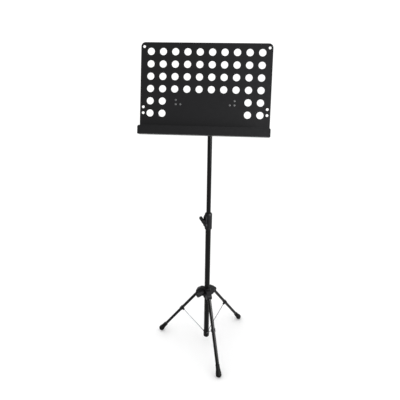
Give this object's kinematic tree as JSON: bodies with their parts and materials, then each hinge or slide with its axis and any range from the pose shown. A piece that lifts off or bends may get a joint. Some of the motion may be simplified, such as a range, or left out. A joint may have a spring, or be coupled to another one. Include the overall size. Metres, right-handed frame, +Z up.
{
  "type": "music stand",
  "caption": "Orchestra music stand with a perforated tilting sheet-steel desk, a telescopic column with a wing clamp and a folding tripod with wire struts.",
  "frame": {"origin": "on the floor, under the middle of the stand's outer box with the tripod open and the desk as set", "axes": "+Z up along the column, +Y to the back of the desk, so the desk's face looks towards -Y, +X to the right as a player facing the desk sees it"},
  "size_m": [0.48, 0.4246, 1.363],
  "materials": {
    "painted_sheet": "satin black powder coat",
    "painted_tube": "semi-gloss black powder coat",
    "nylon": "moulded black nylon, fine grain",
    "rubber": "matt black rubber",
    "zinc": "zinc-plated steel",
    "wire": "dark plated wire",
    "acetal": "natural white acetal"
  },
  "bodies": {
    "column": {"lower_tube": "painted_tube", "height_clamp_body": "nylon", "clamp_liner": "acetal", "clamp_nut": "zinc", "column_spreader": "nylon", "column_tip": "nylon", "tip_screw": "zinc"},
    "glide": {"glide_bush": "acetal"},
    "upper_column": {"upper_tube": "painted_tube", "tilt_head": "nylon", "head_screw": "zinc"},
    "desk": {"desk_plate": "painted_sheet", "desk_crossbar": "painted_sheet", "tilt_tongue": "painted_sheet", "tongue_screw_1": "zinc", "tongue_screw_2": "zinc", "tilt_bolt": "zinc", "tilt_washer": "nylon", "desk_rivet_1": "painted_sheet", "desk_rivet_2": "painted_sheet", "desk_rivet_3": "painted_sheet", "desk_rivet_4": "painted_sheet", "desk_rivet_5": "painted_sheet", "desk_rivet_6": "painted_sheet"},
    "tilt_knob": {"tilt_knob": "nylon", "tilt_knob_nut": "zinc"},
    "height_wing": {"height_screw": "zinc", "height_wing": "nylon"},
    "hub": {"leg_hub": "nylon", "hub_shoe": "acetal", "hub_nut": "zinc", "leg_pin_1": "zinc", "leg_pin_2": "zinc", "leg_pin_3": "zinc"},
    "hub_lock": {"hub_screw": "zinc", "hub_knob": "nylon"},
    "leg_1": {"leg_tube_1": "painted_tube", "leg_plug_1": "nylon", "foot_1": "rubber", "strut_clip_1": "painted_sheet", "strut_pin_1": "zinc"},
    "leg_2": {"leg_tube_2": "painted_tube", "leg_plug_2": "nylon", "foot_2": "rubber", "strut_clip_2": "painted_sheet", "strut_pin_2": "zinc"},
    "leg_3": {"leg_tube_3": "painted_tube", "leg_plug_3": "nylon", "foot_3": "rubber", "strut_clip_3": "painted_sheet", "strut_pin_3": "zinc"},
    "strut_1": {"strut_1": "wire"},
    "strut_2": {"strut_2": "wire"},
    "strut_3": {"strut_3": "wire"}
  },
  "joints": [
    {"name": "height_slide", "type": "slide", "parent": "column", "child": "glide", "axis": [0, 0, 1], "range_m": [-0.4, 0.05]},
    {"name": "desk_swivel", "type": "hinge", "parent": "glide", "child": "upper_column", "pos_m": [0.0175, 0.02565, 1], "axis": [0, 0, 1], "continuous": true},
    {"name": "desk_tilt", "type": "hinge", "parent": "upper_column", "child": "desk", "pos_m": [0, 0.02565, 1.168], "axis": [-1, 0, 0], "range_deg": [-17.6, 72.4]},
    {"name": "tilt_knob_turn", "type": "hinge", "parent": "upper_column", "child": "tilt_knob", "pos_m": [0.04, 0.02565, 1.168], "axis": [1, 0, 0], "continuous": true},
    {"name": "height_wing_turn", "type": "hinge", "parent": "column", "child": "height_wing", "pos_m": [-0.00242, 0.00894, 0.652], "axis": [-0.766, -0.6428, 0], "continuous": true},
    {"name": "hub_slide", "type": "slide", "parent": "column", "child": "hub", "axis": [0, 0, 1], "range_m": [0, 0.06215]},
    {"name": "hub_lock_turn", "type": "hinge", "parent": "hub", "child": "hub_lock", "pos_m": [-0.01296, -0.00747, 0.289], "axis": [-0.6769, -0.7361, 0], "continuous": true},
    {"name": "leg_fold_1", "type": "hinge", "parent": "hub", "child": "leg_1", "pos_m": [0.02886, -0.01061, 0.282], "axis": [0.9542, 0.299, 0], "range_deg": [0, 36.26]},
    {"name": "strut_fold_1", "type": "hinge", "parent": "leg_1", "child": "strut_1", "pos_m": [0.0519, -0.08412, 0.15496], "axis": [0.9542, 0.299, 0], "range_deg": [-76.31, 0]},
    {"name": "leg_fold_2", "type": "hinge", "parent": "hub", "child": "leg_2", "pos_m": [0.04322, 0.05362, 0.282], "axis": [-0.7361, 0.6769, 0], "range_deg": [0, 36.26]},
    {"name": "strut_fold_2", "type": "hinge", "parent": "leg_2", "child": "strut_2", "pos_m": [0.09537, 0.11033, 0.15496], "axis": [-0.7361, 0.6769, 0], "range_deg": [-76.31, 0]},
    {"name": "leg_fold_3", "type": "hinge", "parent": "hub", "child": "leg_3", "pos_m": [-0.01959, 0.03394, 0.282], "axis": [-0.2181, -0.9759, 0], "range_deg": [0, 36.26]},
    {"name": "strut_fold_3", "type": "hinge", "parent": "leg_3", "child": "strut_3", "pos_m": [-0.09477, 0.05074, 0.15496], "axis": [-0.2181, -0.9759, 0], "range_deg": [-76.31, 0]}
  ],
  "couplings": [
    {"joint": "leg_fold_1", "follows": "hub_slide", "rad_per_m": 10.18},
    {"joint": "strut_fold_1", "follows": "hub_slide", "rad_per_m": -21.424},
    {"joint": "leg_fold_2", "follows": "hub_slide", "rad_per_m": 10.18},
    {"joint": "strut_fold_2", "follows": "hub_slide", "rad_per_m": -21.424},
    {"joint": "leg_fold_3", "follows": "hub_slide", "rad_per_m": 10.18},
    {"joint": "strut_fold_3", "follows": "hub_slide", "rad_per_m": -21.424}
  ]
}
